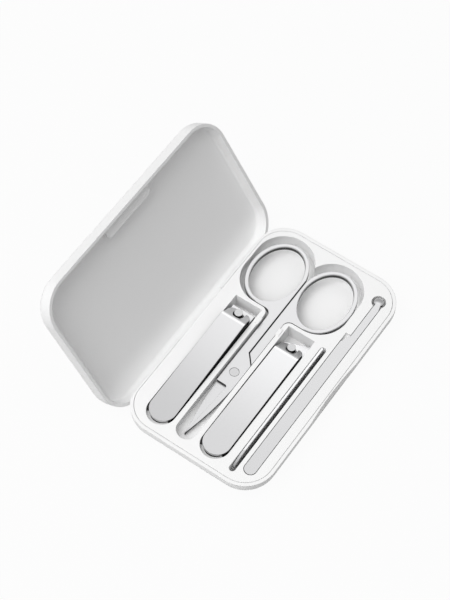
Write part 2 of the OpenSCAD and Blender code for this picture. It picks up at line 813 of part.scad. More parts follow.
// Scissors, in a frame whose origin is the pivot, with the half's ring towards +X

// Outer body of a finger ring: an oval disc with chamfered edges
module ring_disc() {
    e = ring_edge;
    t = 2 * blade_thickness;
    scale([ring_side / ring_end, 1, 1]) rotate_extrude() polygon([
        [0, 0], [ring_end - e, 0], [ring_end, e], [ring_end, t - e], [ring_end - e, t], [0, t]
    ]);
}

// The oval hole of a finger ring, with chamfered edges
module ring_bore() {
    e = ring_edge;
    t = 2 * blade_thickness;
    end = ring_end - ring_wire;
    scale([(ring_side - ring_wire) / end, 1, 1]) rotate_extrude() polygon([
        [0, -e], [end + 2 * e, -e], [end, e], [end, t - e], [end + 2 * e, t + e], [0, t + e]
    ]);
}

// Plan of the blade: curved back, then the cutting edge up to the fillet at the shoulder
module blade_plan(edge_x, tip_x) {
    drop = shank_width + tip_x;
    polygon(concat(
        [[edge_x + 1, 0], [-shank_width, 0]],
        [for (i = [0:6]) [-shank_width + drop * (0.35 * i / 6 + 0.65 * pow(i / 6, 2)),
                          -lap_front - (blade_length - lap_front) * i / 6]],
        arc([edge_x + 1, -lap_front - 1], 1, 180, 90, 4)
    ));
}

// Lapped plate at the pivot, ended by the shoulder and by the slanting stop
module lap_plan(gap) {
    slope = (stop_y - lap_rear) / (shank_width + gap);
    polygon([[-shank_width, -lap_front], [shank_width, -lap_front], [shank_width, stop_y + 3],
             [gap + 1, stop_y + 3], [gap + 1, stop_y + slope - 0.1],
             [-shank_width, lap_rear]]);
}

// Plan of the shank and of the gusset that carries the ring, drawn past the seam
module shank_plan(gap) {
    slope = (stop_y - lap_rear - lap_gap) / (shank_width - gap);
    gusset_y = ring_y - ring_end - 0.1;
    r = gusset_radius;
    polygon(concat(
        [[gap - 1, stop_y + slope], [shank_width, lap_rear + lap_gap]],
        arc([shank_width + r, gusset_y - r], r, 180, 90, 6),
        [[well_offset, gusset_y], [well_offset, ring_y], [gap - 1, ring_y]]
    ));
}

module scissors_half(lap_z, edge_x, tip_x) {
    gap = shank_gap / 2;
    color("gainsboro") difference() {
        union() {
            translate([0, 0, lap_z]) linear_extrude(blade_thickness) {
                lap_plan(gap);
                blade_plan(edge_x, tip_x);
            }
            translate([0, 0, scissors_bottom]) linear_extrude(2 * blade_thickness)
                shank_plan(gap);
            translate([well_offset, ring_y, scissors_bottom]) ring_disc();
        }
        translate([well_offset, ring_y, scissors_bottom]) ring_bore();
        translate([gap - ring_side, stop_y - 0.1, 0]) cube([ring_side, case_length, base_height]);
        cylinder(h = base_height, r = scissors_rivet_radius + running_clearance);
        for (z = [scissors_top - rivet_cap, scissors_bottom + rivet_cap - over])
            translate([0, 0, z]) cylinder(h = over, r = rivet_cap_radius + cap_gap);
    }
}

module at_pivot() translate([scissors_x, pivot_y, 0]) children();

module scissors_upper_half() at_pivot() mirror([1, 0, 0]) scissors_half(scissors_mid, -1.25, 0.55);
module scissors_lower_half() at_pivot() scissors_half(scissors_bottom, 2.2, -0.55);

module scissors_rivet() {
    color("gainsboro") at_pivot() {
        translate([0, 0, scissors_bottom])
            cylinder(h = 2 * blade_thickness, r = scissors_rivet_radius);
        for (z = [scissors_bottom, scissors_top - rivet_cap + 0.05])
            translate([0, 0, z]) cylinder(h = rivet_cap - 0.05, r = rivet_cap_radius);
    }
}

// Nail file and ear pick

module nail_file() {
    x = file_slot_x - file_slot_width / 2 + file_side_gap;
    end_y = file_slot_end - file_end_gap;
    tip_y = file_slot_tail + file_tip_gap;
    top = pocket_floor + file_height;
    color("darkgray") translate([x, 0, 0]) rotate([90, 0, 90]) linear_extrude(file_thickness)
        polygon(concat(
            [[end_y, pocket_floor], [end_y, top]],
            [for (i = [0:6]) [tip_y + 8 * pow(1 - i / 6, 2), top - 0.25 * i / 6 * file_height]],
            [for (i = [6:-1:0]) [tip_y + 12 * pow(1 - i / 6, 2),
                                 pocket_floor + 0.68 * i / 6 * file_height]]
        ));
}

module ear_pick() {
    half = ear_pick_width / 2;
    neck_x = half - ear_pick_neck / 2;
    scoop_z = base_height - ear_pick_thickness;
    color("lightgray") translate([ear_pick_x, 0, scoop_z]) {
        linear_extrude(ear_pick_thickness) {
            translate([0, ear_tail_y + half]) circle(half);
            polygon([[-half, ear_tail_y + half], [half, ear_tail_y + half],
                     [half, ear_step_y], [half, ear_scoop_y - 4],
                     [neck_x + 0.7, ear_scoop_y - 1], [neck_x - 1.3, ear_scoop_y - 1],
                     [half - ear_pick_neck, ear_scoop_y - 4],
                     [half - ear_pick_neck, ear_step_y], [-half, ear_step_y - 5]]);
        }
        difference() {
            translate([ear_scoop_x, ear_scoop_y, 0])
                cylinder(h = ear_pick_thickness, r = ear_scoop_radius);
            translate([ear_scoop_x, ear_scoop_y, ear_pick_thickness + 2.2]) sphere(r = 2.9);
        }
    }
}

base_shell();
tray();
hinge_pin();
base_magnet();
lid_shell();
magnet_cover();
lid_magnet();
straight_clipper_lower_jaw();
straight_clipper_upper_jaw();
straight_clipper_guard();
straight_clipper_pin();
straight_clipper_rivet();
straight_clipper_lever();
slant_clipper_lower_jaw();
slant_clipper_upper_jaw();
slant_clipper_guard();
slant_clipper_pin();
slant_clipper_rivet();
slant_clipper_lever();
scissors_upper_half();
scissors_lower_half();
scissors_rivet();
nail_file();
ear_pick();
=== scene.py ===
"""Looks of a manicure set case: an open plastic box whose tray holds two nail clippers,
scissors, a nail file and an ear pick."""
import math

import bmesh
import bpy
from bpy.props import FloatProperty, FloatVectorProperty, PointerProperty
from bpy.types import Operator, Panel, PropertyGroup
from mathutils import Matrix, Vector


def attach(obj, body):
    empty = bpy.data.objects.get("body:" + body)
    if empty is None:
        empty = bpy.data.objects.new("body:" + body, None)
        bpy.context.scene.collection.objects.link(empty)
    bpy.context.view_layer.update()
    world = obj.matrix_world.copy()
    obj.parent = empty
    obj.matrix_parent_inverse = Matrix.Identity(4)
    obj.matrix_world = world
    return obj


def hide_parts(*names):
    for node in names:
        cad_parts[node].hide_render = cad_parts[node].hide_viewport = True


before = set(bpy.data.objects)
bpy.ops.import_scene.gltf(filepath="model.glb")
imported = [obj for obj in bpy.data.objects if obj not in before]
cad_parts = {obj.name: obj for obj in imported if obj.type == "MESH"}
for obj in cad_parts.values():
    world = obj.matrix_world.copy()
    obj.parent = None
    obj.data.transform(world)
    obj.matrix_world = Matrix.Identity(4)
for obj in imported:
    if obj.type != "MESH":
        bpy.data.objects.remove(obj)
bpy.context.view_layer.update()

bl_info = {
    "name": "Manicure set case",
    "version": (1, 0, 0),
    "blender": (4, 5, 0),
    "location": "View3D > Sidebar > Manicure set",
    "description": "Finishes and details of a manicure set case",
    "category": "Object",
}

MM = 0.001
SHARP_ANGLE = math.radians(30)
MERGE_DISTANCE = 0.001 * MM

# The lid as the solid has it: how far it stands open, its hinge and its plan's corner radius
LID_OPEN = math.radians(122)
HINGE = Vector((-31.8, 0, 6.85)) * MM
CORNER = 14.3 * MM

# Its outer and inner rounding: how far each starts inside the outline and the outside, its
# radius, how much of the quarter turn lies before its first row of points, and how much of
# that radius the hinge's side keeps, so that the lid stands clear of the table
OUTER_EDGE = (0, 0, 6 * MM, 1 / 12, 1)
INNER_EDGE = (1.5 * MM, 1.8 * MM, 4.5 * MM, 0, 0.1)
ROUNDING_TOLERANCE = 0.02 * MM

# The clippers' pockets, whose round tail ends have a step that starts clear of the guards
CLIPPER_X = (-19.35 * MM, 7.75 * MM)
POCKET_TAIL_Y = -47.3 * MM
POCKET_RADIUS = 6.62 * MM
POCKET_FLOOR = 2 * MM
LEDGE_INNER = 5 * MM
LEDGE_HALF_TURN = math.radians(63)
LEDGE_STEPS = 24

# The scissors' seam and the slanting stop that ends it, in plan, and how far a line of painted
# shade reaches to each side of them
SEAM_START = Vector((-5.75, -3.4, 0)) * MM
SEAM_END = Vector((-5.75, 39.6, 0)) * MM
STOP_END = Vector((-1.75, -8.05, 0)) * MM
SEAM_REACH = 0.36 * MM
STOP_REACH = 0.3 * MM

# Shares of a tint: the darkest spots of moulded and of brushed faces, and the painted shade on
# steel sides and on the turned sides of pins
MOULDED_DIP = 0.985
BRUSHED_DIP = 0.97
SIDE_PAINTED_SHADE = 0.07
TURNED_SIDE_PAINTED_SHADE = 0.1

# Painted sheen, highlight and shade along a tool, as two places in metres and the share of the
# tint at each
LEVER_PAINTED_SHEEN = (-45 * MM, 6 * MM, 0.89, 1.11)
LEVER_NOSE_PAINTED_SHADE = (4.2 * MM, 5.6 * MM, 1.0, 0.52)
JAW_TIP_PAINTED_HIGHLIGHT = (7 * MM, 11.5 * MM, 0.6, 1.12)
FILE_PAINTED_SHADE_DEPTH = 4.5 * MM
FILE_PAINTED_SHADE_SHARES = (0.1, 1.2)

# Radii by which sharp edges look rounded
SHELL_EDGE = 0.35 * MM
TRAY_EDGE = 0.3 * MM
PRESSED_EDGE = 0.25 * MM
GROUND_EDGE = 0.15 * MM
BLADE_EDGE = 0.12 * MM
FINE_EDGE = 0.1 * MM
FILE_EDGE = 0.5 * MM

# The studio: floor, lamps and the direction in which the room glows for polished steel
FLOOR_HALF = 3
FLOOR_WHITENESS = 0.95
LAMP_SIZE = (1.2, 0.9)
LAMP_DISTANCE = 1.6
HIGH_LAMP = Vector((-0.3, -0.4, 0.87))
LOW_LAMP = Vector((-0.2, -0.8, 0.57))
GLOW = Vector((-0.25, 0.78, 0.57))
GLOW_START = 0.6
GLOW_LOW = 0.5

# The camera: where it looks, from which direction, how it is rolled and its lens
TARGET = Vector((-28.4, 11.1, 10.0)) * MM
AZIMUTH = math.radians(34.8)
ELEVATION = math.radians(58.91)
ROLL = math.radians(0.11)
SENSOR_HEIGHT = 36
LENS = 109.5


# Colours and node trees

def linear(hex_value):
    """sRGB hex text to linear red, green, blue."""
    parts = [int(hex_value[i:i + 2], 16) / 255 for i in (1, 3, 5)]
    return [p / 12.92 if p <= 0.04045 else ((p + 0.055) / 1.055) ** 2.4 for p in parts]


def darker(tint, share):
    """A tint at a share of its brightness."""
    return [c * share for c in tint]


def colour(tint, share=1.0):
    """A socket's colour: a tint at a share of its brightness, with full alpha."""
    return (*darker(tint, share), 1.0)


def add_node(tree, kind, links=None, **settings):
    """Adds one node, sets its properties and sockets, and links outputs to its inputs."""
    node = tree.nodes.new(kind)
    for name, value in settings.items():
        if hasattr(node, name):
            setattr(node, name, value)
        else:
            node.inputs[name.replace("_", " ")].default_value = value
    for name, source in (links or {}).items():
        tree.links.new(source, node.inputs[name])
    return node


def new_material(name):
    """A new material, its node tree and its Principled shader."""
    material = bpy.data.materials.new(name)
    material.use_nodes = True
    return material, material.node_tree, material.node_tree.nodes["Principled BSDF"]


def ramp(tree, value, places, levels, smooth=True):
    """Runs from one level to another as a value runs from one place to another."""
    node = add_node(tree, "ShaderNodeMapRange", {"Value": value},
                    interpolation_type="SMOOTHSTEP" if smooth else "LINEAR")
    node.inputs["From Min"].default_value, node.inputs["From Max"].default_value = places
    node.inputs["To Min"].default_value, node.inputs["To Max"].default_value = levels
    return node.outputs["Result"]


def joined(tree, kind, first, second):
    """Two values joined by one operation, such as the larger of two masks."""
    return add_node(tree, "ShaderNodeMath", {0: first, 1: second}, operation=kind).outputs[0]


def mixed_colour(tree, factor, first, second):
    """A colour that runs from one tint to another."""
    mix = add_node(tree, "ShaderNodeMix", {"Factor": factor}, data_type="RGBA")
    mix.inputs["A"].default_value = first
    mix.inputs["B"].default_value = second
    return mix


def on_axis(tree, output, axis):
    """One axis of the object's own coordinates or normals."""
    place = add_node(tree, "ShaderNodeTexCoord")
    return add_node(tree, "ShaderNodeSeparateXYZ", {"Vector": place.outputs[output]}).outputs[axis]


def soft_edges(tree, shader, radius, bump=None):
    """Rounds the look of sharp edges by a real radius, under the given surface bump."""
    links = {"Normal": bump} if bump else {}
    rounded = add_node(tree, "ShaderNodeBevel", links, samples=12, Radius=radius)
    tree.links.new(rounded.outputs["Normal"], shader.inputs["Normal"])


def facing_mask(tree, axis, level, inside, outside):
    """One value on faces along an axis of the object's frame, and another on the rest."""
    size = add_node(tree, "ShaderNodeMath", {0: on_axis(tree, "Normal", axis)},
                    operation="ABSOLUTE")
    blend = 0.15
    return ramp(tree, size.outputs[0], (level - blend, level + blend), (outside, inside))


def long_sides(tree):
    """One on the long sides, whose tint is painted dark as shade."""
    return facing_mask(tree, "X", 0.75, 1.0, 0.0)


def all_sides(tree, level=0.45):
    """One on every face that isn't level."""
    return facing_mask(tree, "Z", level, 0.0, 1.0)


def along_axis(tree, axis, start, end, low, high):
    """A value that runs from low to high between two places on an axis, in metres."""
    return ramp(tree, on_axis(tree, "Object", axis), (start, end), (low, high))


def near_segment(tree, start, end, reach):
    """One within a reach of a line between two places in plan, and nothing beyond it."""
    direction = (end - start).normalized()
    place = add_node(tree, "ShaderNodeTexCoord")
    flat = add_node(tree, "ShaderNodeVectorMath", {0: place.outputs["Object"]},
                    operation="MULTIPLY")
    flat.inputs[1].default_value = (1, 1, 0)
    from_start = add_node(tree, "ShaderNodeVectorMath", {0: flat.outputs["Vector"]},
                          operation="SUBTRACT")
    from_start.inputs[1].default_value = start
    along = add_node(tree, "ShaderNodeVectorMath", {0: from_start.outputs["Vector"]},
                     operation="DOT_PRODUCT")
    along.inputs[1].default_value = direction
    held = add_node(tree, "ShaderNodeClamp", {"Value": along.outputs["Value"]},
                    Max=(end - start).length)
    foot = add_node(tree, "ShaderNodeVectorMath", {"Scale": held.outputs["Result"]},
                    operation="SCALE")
    foot.inputs[0].default_value = direction
    away = add_node(tree, "ShaderNodeVectorMath",
                    {0: from_start.outputs["Vector"], 1: foot.outputs["Vector"]},
                    operation="DISTANCE")
    return ramp(tree, away.outputs["Value"], (reach * 0.8, reach * 1.2), (1.0, 0.0))


def object_pattern(tree, scale):
    """Object coordinates stretched by a scale per axis, in patterns per metre."""
    place = add_node(tree, "ShaderNodeTexCoord")
    mapping = add_node(tree, "ShaderNodeMapping", {"Vector": place.outputs["Object"]}, Scale=scale)
    return mapping.outputs["Vector"]


# Finishes

def moulded_plastic(name, tint, roughness, grain_size, edge):
    """Injection-moulded ABS: matt, one colour all through, with a fine spark-eroded grain."""
    material, tree, shader = new_material(name)
    pattern = object_pattern(tree, (1 / grain_size,) * 3)
    grain = add_node(tree, "ShaderNodeTexNoise", {"Vector": pattern}, Scale=1.0, Detail=2.0)
    cloud = add_node(tree, "ShaderNodeTexNoise", {"Vector": pattern}, Scale=0.02, Detail=1.0)
    shade = mixed_colour(tree, cloud.outputs["Fac"], colour(tint, MOULDED_DIP), colour(tint))
    rough = ramp(tree, grain.outputs["Fac"], (0, 1), (roughness - 0.04, roughness + 0.04), False)
    bump = add_node(tree, "ShaderNodeBump", {"Height": grain.outputs["Fac"]},
                    Strength=0.06, Distance=0.05 * MM)
    tree.links.new(shade.outputs["Result"], shader.inputs["Base Color"])
    tree.links.new(rough, shader.inputs["Roughness"])
    shader.inputs["IOR"].default_value = 1.53
    soft_edges(tree, shader, edge, bump.outputs["Normal"])
    return material


def satin_steel(name, tint, roughness, line, edge, along="Y", sides=None, tone=None):
    """Stainless steel brushed along one axis, as its flat faces are after belt grinding.

    sides makes a mask for faces whose tint is painted dark as shade, and tone a share of the tint
    that paints sheen, highlight or shade along the tool.
    """
    material, tree, shader = new_material(name)
    # A brushed line is 120 times as long as it is wide
    across = 1 / line
    length = across / 120
    scale = [length if axis == along else across for axis in "XYZ"]
    lines = add_node(tree, "ShaderNodeTexNoise", {"Vector": object_pattern(tree, scale)},
                     Scale=1.0, Detail=3.0)
    rough = ramp(tree, lines.outputs["Fac"], (0, 1), (roughness - 0.05, roughness + 0.05), False)
    shade = mixed_colour(tree, lines.outputs["Fac"], colour(tint, BRUSHED_DIP), colour(tint))
    tinted = shade.outputs["Result"]
    if tone:
        toned = add_node(tree, "ShaderNodeVectorMath", {0: tinted, "Scale": tone(tree)},
                         operation="SCALE")
        tinted = toned.outputs["Vector"]
    if sides:
        # Faces in the sides mask are painted dark as shade
        painted_side_shade = mixed_colour(tree, sides(tree), colour(tint), colour(tint, SIDE_PAINTED_SHADE))
        tree.links.new(tinted, painted_side_shade.inputs["A"])
        tinted = painted_side_shade.outputs["Result"]
    bump = add_node(tree, "ShaderNodeBump", {"Height": lines.outputs["Fac"]},
                    Strength=0.05, Distance=0.02 * MM)
    tree.links.new(tinted, shader.inputs["Base Color"])
    tree.links.new(rough, shader.inputs["Roughness"])
    shader.inputs["Metallic"].default_value = 1.0
    soft_edges(tree, shader, edge, bump.outputs["Normal"])
    return material


def polished_steel(name, tint, roughness, side_share=1.0):
    """Turned and barrel-polished metal: bright, with faint small scratches.

    side_share is the part of the tint that a turned side keeps, as painted shade.
    """
    material, tree, shader = new_material(name)
    pattern = object_pattern(tree, (1 / (0.4 * MM),) * 3)
    marks = add_node(tree, "ShaderNodeTexNoise", {"Vector": pattern}, Scale=1.0, Detail=4.0)
    rough = ramp(tree, marks.outputs["Fac"], (0, 1), (roughness, roughness + 0.08), False)
    tree.links.new(rough, shader.inputs["Roughness"])
    shader.inputs["Base Color"].default_value = colour(tint)
    # Turned sides are painted darker as shade
    if side_share < 1:
        shade = mixed_colour(tree, all_sides(tree, 0.6), colour(tint), colour(tint, side_share))
        tree.links.new(shade.outputs["Result"], shader.inputs["Base Color"])
    shader.inputs["Metallic"].default_value = 1.0
    soft_edges(tree, shader, FINE_EDGE)
    return material


def finish_nodes(names, material):
    """Gives CAD nodes their finished material."""
    for name in names:
        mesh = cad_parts[name].data
        mesh.materials.clear()
        mesh.materials.append(material)


def new_object(name, bm, material):
    """An object made from a bmesh, smooth apart from its sharp edges."""
    mesh = bpy.data.meshes.new(name)
    bm.to_mesh(mesh)
    bm.free()
    mesh.shade_smooth()
    mesh.set_sharp_from_angle(angle=SHARP_ANGLE)
    mesh.materials.append(material)
    piece = bpy.data.objects.new(name, mesh)
    bpy.context.scene.collection.objects.link(piece)
    return piece


# Sizes and colours that a user would change

class CaseFinish(PropertyGroup):
    plastic: FloatVectorProperty(
        name="Case plastic", description="Colour of the case's two shells",
        subtype="COLOR", min=0, max=1, default=linear("#F4F4F4"))
    tray: FloatVectorProperty(
        name="Tray plastic", description="Colour of the fitted tray",
        subtype="COLOR", min=0, max=1, default=linear("#F5F5F5"))
    guard: FloatVectorProperty(
        name="Guard plastic", description="Colour of the clippers' guards",
        subtype="COLOR", min=0, max=1, default=linear("#0B0B0B"))
    magnet: FloatVectorProperty(
        name="Magnet plating", description="Colour of the nickel-plated magnets",
        subtype="COLOR", min=0, max=1, default=linear("#9A9A9C"))
    roughness: FloatProperty(
        name="Roughness", description="Roughness of the moulded plastic",
        subtype="FACTOR", default=0.5, min=0, max=1)
    grain: FloatProperty(
        name="Grain", description="Grain size of the moulded plastic",
        subtype="DISTANCE", unit="LENGTH", default=0.5 * MM, min=0.1 * MM, max=2 * MM)
    lid_edge: FloatProperty(
        name="Lid edge", description="Radius of the lid's outer edge",
        subtype="DISTANCE", unit="LENGTH", default=2.5 * MM, min=1 * MM, max=6 * MM)
    lid_inner_edge: FloatProperty(
        name="Lid inner edge", description="Radius of the lid's inner edge",
        subtype="DISTANCE", unit="LENGTH", default=1.2 * MM, min=0.5 * MM, max=4.5 * MM)
    ledge_top: FloatProperty(
        name="Ledge height", description="Height of the steps below the levers' tails",
        subtype="DISTANCE", unit="LENGTH", default=8.2 * MM, min=5 * MM, max=8.6 * MM)


class ToolFinish(PropertyGroup):
    steel: FloatVectorProperty(
        name="Steel", description="Colour of the brushed steel",
        subtype="COLOR", min=0, max=1, default=linear("#E4E4E5"))
    bright: FloatVectorProperty(
        name="Bright steel", description="Colour of the polished steel",
        subtype="COLOR", min=0, max=1, default=linear("#E9E9EA"))
    roughness: FloatProperty(
        name="Roughness", description="Roughness of the brushed steel",
        subtype="FACTOR", default=0.32, min=0, max=1)
    line: FloatProperty(
        name="Brushing", description="Width of a brushed line",
        subtype="DISTANCE", unit="LENGTH", default=0.12 * MM, min=0.02 * MM, max=1 * MM)


class StageLook(PropertyGroup):
    backdrop: FloatVectorProperty(
        name="Backdrop", description="Colour of the floor",
        subtype="COLOR", min=0, max=1, default=linear("#BCBCBC"))
    sky: FloatProperty(
        name="Sky", description="Strength of the soft light straight overhead",
        default=0.85, min=0, max=5)
    gloss_side: FloatProperty(
        name="Gloss", description="Strength of the glow that the steel shows",
        default=1.45, min=0, max=3)
    high_lamp: FloatProperty(
        name="High lamp", description="Power of the soft lamp over the tail end of the case",
        subtype="POWER", unit="POWER", default=11.0, min=0, max=50)
    low_lamp: FloatProperty(
        name="Low lamp", description="Power of the soft lamp in front of the tail end",
        subtype="POWER", unit="POWER", default=5.6, min=0, max=50)
    view_distance: FloatProperty(
        name="Camera distance", description="Distance from the camera to the case",
        subtype="DISTANCE", unit="LENGTH", default=0.7793, min=0.3, max=3)


# Pieces

class MANICURE_OT_case(Operator):
    """Finish the case's shells, tray and magnets"""
    bl_idname = "manicure.case"
    bl_label = "Case"

    def execute(self, context):
        look = context.scene.case_finish
        shell = moulded_plastic("Satin_ABS_shell", look.plastic, look.roughness, look.grain,
                                SHELL_EDGE)
        tray = moulded_plastic("Satin_ABS_tray", look.tray, look.roughness, look.grain, TRAY_EDGE)
        magnets = polished_steel("Nickel_plated_magnet", look.magnet, roughness=0.25)
        finish_nodes(["base_shell", "lid_shell", "magnet_cover"], shell)
        finish_nodes(["tray"], tray)
        finish_nodes(["base_magnet", "lid_magnet"], magnets)
        self.tighten_lid_edges(look.lid_edge, look.lid_inner_edge, shell)
        self.build_ledges(look.ledge_top, tray)
        return {"FINISHED"}

    def tighten_lid_edges(self, outer, inner, material):
        """A copy of the lid whose roundings between its walls and its flat are smaller."""
        bm = bmesh.new()
        bm.from_mesh(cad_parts["lid_shell"].data)
        bmesh.ops.remove_doubles(bm, verts=bm.verts, dist=MERGE_DISTANCE)
        hinge = Matrix.Translation(HINGE)
        closing = hinge @ Matrix.Rotation(LID_OPEN, 4, "Y") @ hinge.inverted()
        bm.transform(closing)
        half = [max(abs(v.co[i]) for v in bm.verts) for i in (0, 1)]
        top = max(v.co.z for v in bm.verts)
        for vert in bm.verts:
            core = Vector([max(-h + CORNER, min(h - CORNER, vert.co[i]))
                           for i, h in enumerate(half)])
            out = vert.co.xy - core
            for edge, radius in ((OUTER_EDGE, outer), (INNER_EDGE, inner)):
                place = self.tightened(edge, radius, out, top - vert.co.z)
                if place:
                    reach, depth = place
                    vert.co.xy = core + out.normalized() * reach
                    vert.co.z = top - depth
                    break
        bm.transform(closing.inverted())
        lid = new_object("lid_shell_finished", bm, material)
        # The large flat faces keep their own normals up to the start of the rounding
        even = lid.modifiers.new("Even_flats", "WEIGHTED_NORMAL")
        even.keep_sharp = True
        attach(lid, "lid")
        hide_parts("lid_shell")

    def tightened(self, edge, radius, out, depth):
        """Where a point of a rounding goes: its reach in plan and its depth, or nothing."""
        wall, floor, old, first, kept = edge
        across = wall + old - (CORNER - out.length)
        down = floor + old - depth
        off = abs(math.hypot(across, down) - old)
        if min(across, down) <= MERGE_DISTANCE or off > ROUNDING_TOLERANCE:
            return None
        quarter = math.pi / 2
        turn = (math.atan2(down, across) / quarter - first) / (1 - 2 * first)
        turn = max(0.0, min(1.0, turn)) * quarter
        size = radius + (old - radius) * kept * max(0.0, -out.x / out.length)
        return (CORNER - wall - size * (1 - math.cos(turn)),
                floor + size * (1 - math.sin(turn)))

    def build_ledges(self, top, material):
        """The moulded steps at the pockets' tail ends, below the levers' tails."""
        bm = bmesh.new()
        start = Matrix.Rotation(-math.pi / 2 - LEDGE_HALF_TURN, 3, "Z")
        corners = [(LEDGE_INNER, POCKET_FLOOR), (POCKET_RADIUS, POCKET_FLOOR),
                   (POCKET_RADIUS, top), (LEDGE_INNER, top)]
        end = bm.faces.new([bm.verts.new(start @ Vector((r, 0, z))) for r, z in corners])
        bmesh.ops.spin(bm, geom=[*end.verts, *end.edges, end], cent=(0, 0, 0), axis=(0, 0, 1),
                       angle=2 * LEDGE_HALF_TURN, steps=LEDGE_STEPS)
        bmesh.ops.translate(bm, verts=bm.verts, vec=(CLIPPER_X[0], POCKET_TAIL_Y, 0))
        copy = bmesh.ops.duplicate(bm, geom=[*bm.verts, *bm.edges, *bm.faces])["geom"]
        bmesh.ops.translate(bm, verts=[v for v in copy if isinstance(v, bmesh.types.BMVert)],
                            vec=(CLIPPER_X[1] - CLIPPER_X[0], 0, 0))
        bmesh.ops.remove_doubles(bm, verts=bm.verts, dist=MERGE_DISTANCE)
        bmesh.ops.recalc_face_normals(bm, faces=bm.faces)
        ledges = new_object("pocket_ledges", bm, material)
        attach(ledges, "case")


class MANICURE_OT_clippers(Operator):
    """Finish the two nail clippers"""
    bl_idname = "manicure.clippers"
    bl_label = "Nail clippers"

    def execute(self, context):
        look = context.scene.tool_finish
        # Painted sheen and shade: the lever's tint is painted duller at the tail and brighter
        # towards the fold, painted darker where its nose bends down, and its long sides are
        # painted dark as shade
        lever = satin_steel(
            "Brushed_stainless_lever", look.steel, look.roughness, look.line, PRESSED_EDGE,
            sides=long_sides,
            tone=lambda tree: joined(tree, "MULTIPLY", along_axis(tree, "Y", *LEVER_PAINTED_SHEEN),
                                     along_axis(tree, "Y", *LEVER_NOSE_PAINTED_SHADE)))
        # The jaw's tint is painted darker under the lever and brighter at the tip as a painted
        # highlight, and its long sides are painted dark as shade
        jaw = satin_steel(
            "Ground_stainless_jaw", look.steel, roughness=0.25, line=look.line,
            edge=GROUND_EDGE, along="X", sides=long_sides,
            tone=lambda tree: along_axis(tree, "Y", *JAW_TIP_PAINTED_HIGHLIGHT))
        # The pins' turned sides are painted dark as shade
        pin = polished_steel("Polished_steel_pin", darker(look.bright, 0.72), roughness=0.2,
                             side_share=TURNED_SIDE_PAINTED_SHADE)
        case = context.scene.case_finish
        guard = moulded_plastic("Black_ABS_guard", case.guard, roughness=0.35,
                                grain_size=case.grain, edge=FINE_EDGE)
        for kind in ("straight", "slant"):
            part = kind + "_clipper_"
            finish_nodes([part + "lever"], lever)
            finish_nodes([part + "lower_jaw", part + "upper_jaw"], jaw)
            finish_nodes([part + "pin", part + "rivet"], pin)
            finish_nodes([part + "guard"], guard)
        finish_nodes(["hinge_pin"], pin)
        return {"FINISHED"}


class MANICURE_OT_scissors(Operator):
    """Finish the scissors"""
    bl_idname = "manicure.scissors"
    bl_label = "Scissors"

    def execute(self, context):
        look = context.scene.tool_finish
        # The scissors' sides and the edges along their seam are painted dark as shade
        blade = satin_steel("Brushed_stainless_scissors", darker(look.bright, 0.9),
                            roughness=0.3, line=look.line, edge=BLADE_EDGE,
                            sides=self.painted_shade_lines)
        rivet = polished_steel("Polished_steel_rivet", darker(look.bright, 0.75), roughness=0.2)
        finish_nodes(["scissors_upper_half", "scissors_lower_half"], blade)
        finish_nodes(["scissors_rivet"], rivet)
        return {"FINISHED"}

    def painted_shade_lines(self, tree):
        """Painted shade on the sides, and painted shade along the gaps where the two halves meet.
        """
        seam = near_segment(tree, SEAM_START, SEAM_END, SEAM_REACH)
        stop = near_segment(tree, SEAM_START, STOP_END, STOP_REACH)
        return joined(tree, "MAXIMUM", all_sides(tree), joined(tree, "MAXIMUM", seam, stop))


class MANICURE_OT_file_and_pick(Operator):
    """Finish the nail file and the ear pick"""
    bl_idname = "manicure.file_and_pick"
    bl_label = "Nail file and ear pick"

    def execute(self, context):
        look = context.scene.tool_finish
        top = max(v.co.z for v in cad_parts["nail_file"].data.vertices)
        # Painted highlight and shade: the file's tint is painted brighter at its ground top edge
        # and darker the deeper it stands in its slot
        cut = satin_steel(
            "Cut_steel_file_painted_shade", look.bright, roughness=0.35, line=0.3 * MM, edge=FILE_EDGE,
            along="Z",
            tone=lambda tree: along_axis(tree, "Z", top - FILE_PAINTED_SHADE_DEPTH, top, *FILE_PAINTED_SHADE_SHARES))
        # The pick's sides are painted dark as shade
        pick = satin_steel("Brushed_stainless_pick", darker(look.steel, 0.9), look.roughness,
                           look.line, FINE_EDGE, sides=all_sides)
        finish_nodes(["nail_file"], cut)
        finish_nodes(["ear_pick"], pick)
        return {"FINISHED"}


